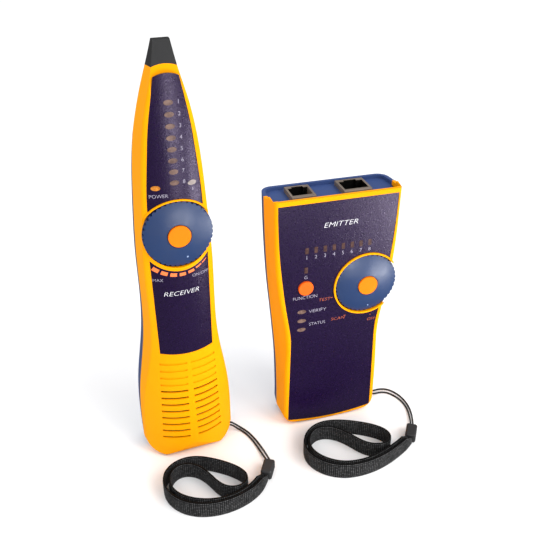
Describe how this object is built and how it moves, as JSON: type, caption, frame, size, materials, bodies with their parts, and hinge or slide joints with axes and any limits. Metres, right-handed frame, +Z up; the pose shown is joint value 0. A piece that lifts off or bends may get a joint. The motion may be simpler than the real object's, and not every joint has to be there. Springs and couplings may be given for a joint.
{
  "type": "tone probe kit",
  "caption": "Cable tracing kit: a tapered probe with volume dial and speaker slots, and a tone sender with mode dial and two wiring sockets, each on a wrist strap.",
  "frame": {"origin": "middle of the two devices' footprint, on the surface they stand on", "axes": "+Z up along both devices, faces look along -Y, receiver on the -X side and emitter on the +X side"},
  "size_m": [0.1649, 0.0804, 0.2342],
  "materials": {
    "yellow_shell": "moulded ABS, slight gloss",
    "blue_shell": "moulded ABS, fine satin grain",
    "black_tip": "satin",
    "panel_film": "fine-grained overlay film",
    "dial_blue": "satin moulded",
    "orange_cap": "moulded, slight gloss",
    "button_orange": "moulded, slight gloss",
    "window_amber": "smoked translucent lens",
    "led_lens": "clear epoxy",
    "board_green": "solder mask",
    "chip_black": "moulded epoxy",
    "jack_grey": "moulded nylon",
    "contact_gold": "gold-plated spring wire",
    "zinc_screw": "zinc plated",
    "shaft_nylon": "moulded nylon",
    "switch_black": "moulded",
    "ferrite_grey": "sintered ferrite",
    "coil_copper": "enamelled copper winding",
    "speaker_steel": "pressed steel",
    "battery_can": "plain printed steel can",
    "strap_black": "ribbed woven polyester",
    "string_black": "braided polyester",
    "ferrule_black": "moulded, slight gloss"
  },
  "bodies": {
    "receiver": {"receiver_front_cover": "yellow_shell", "receiver_back_cover": "blue_shell", "receiver_probe_tip": "black_tip", "receiver_upper_panel": "panel_film", "receiver_lower_panel": "panel_film", "receiver_volume_control": "speaker_steel", "receiver_level_windows": "window_amber", "receiver_signal_window": "window_amber", "receiver_power_window": "window_amber", "receiver_indicator_leds": "led_lens", "receiver_circuit_board": "board_green", "receiver_board_chips": "chip_black", "receiver_pickup_rod": "ferrite_grey", "receiver_pickup_coil": "coil_copper", "receiver_speaker_frame": "speaker_steel", "receiver_speaker_magnet": "ferrite_grey", "receiver_earphone_socket": "switch_black", "receiver_battery": "battery_can", "receiver_battery_snap": "switch_black", "receiver_case_screws": "zinc_screw", "receiver_strap_pin": "zinc_screw", "receiver_strap_string_outer": "string_black", "receiver_strap_string_inner": "string_black", "receiver_strap_ferrule": "ferrule_black", "receiver_strap_webbing": "strap_black"},
    "receiver_volume_dial": {"receiver_dial": "dial_blue", "receiver_dial_cap": "orange_cap", "receiver_control_shaft": "shaft_nylon"},
    "receiver_battery_door": {"receiver_battery_cover": "blue_shell"},
    "emitter": {"emitter_front_cover": "yellow_shell", "emitter_back_cover": "blue_shell", "emitter_front_panel": "panel_film", "emitter_rotary_switch": "switch_black", "emitter_button_switch": "speaker_steel", "emitter_wire_windows": "window_amber", "emitter_ground_window": "window_amber", "emitter_status_windows": "window_amber", "emitter_indicator_leds": "led_lens", "emitter_circuit_board": "board_green", "emitter_board_chips": "chip_black", "emitter_phone_jack": "jack_grey", "emitter_network_jack": "jack_grey", "emitter_phone_contacts": "contact_gold", "emitter_network_contacts": "contact_gold", "emitter_battery": "battery_can", "emitter_battery_snap": "switch_black", "emitter_case_screws": "zinc_screw", "emitter_strap_pin": "zinc_screw", "emitter_strap_string_outer": "string_black", "emitter_strap_string_inner": "string_black", "emitter_strap_ferrule": "ferrule_black", "emitter_strap_webbing": "strap_black"},
    "emitter_mode_dial": {"emitter_dial": "dial_blue", "emitter_dial_cap": "orange_cap", "emitter_switch_shaft": "shaft_nylon"},
    "emitter_button": {"emitter_function_button": "button_orange", "emitter_button_plunger": "switch_black"},
    "emitter_battery_door": {"emitter_battery_cover": "blue_shell"}
  },
  "joints": [
    {"name": "emitter_lift", "type": "slide", "parent": "receiver", "child": "emitter", "axis": [0, 0, 1], "range_m": [0, 0.12]},
    {"name": "emitter_dial_turn", "type": "hinge", "parent": "emitter", "child": "emitter_mode_dial", "pos_m": [0.05598, -0.008, 0.0948], "axis": [0, 1, 0], "range_deg": [0, 86]},
    {"name": "emitter_button_press", "type": "slide", "parent": "emitter", "child": "emitter_button", "axis": [0, 1, 0], "range_m": [0, 0.0008], "stiffness_N_per_m": 400},
    {"name": "emitter_battery_door_off", "type": "slide", "parent": "emitter", "child": "emitter_battery_door", "axis": [0, 1, 0], "range_m": [0, 0.015]},
    {"name": "receiver_volume_turn", "type": "hinge", "parent": "receiver", "child": "receiver_volume_dial", "pos_m": [-0.04772, -0.0119, 0.1445], "axis": [-0.0698, 0.9976, 0], "range_deg": [-22, 54]},
    {"name": "receiver_battery_door_off", "type": "slide", "parent": "receiver", "child": "receiver_battery_door", "axis": [-0.0698, 0.9976, 0], "range_m": [0, 0.015]}
  ]
}
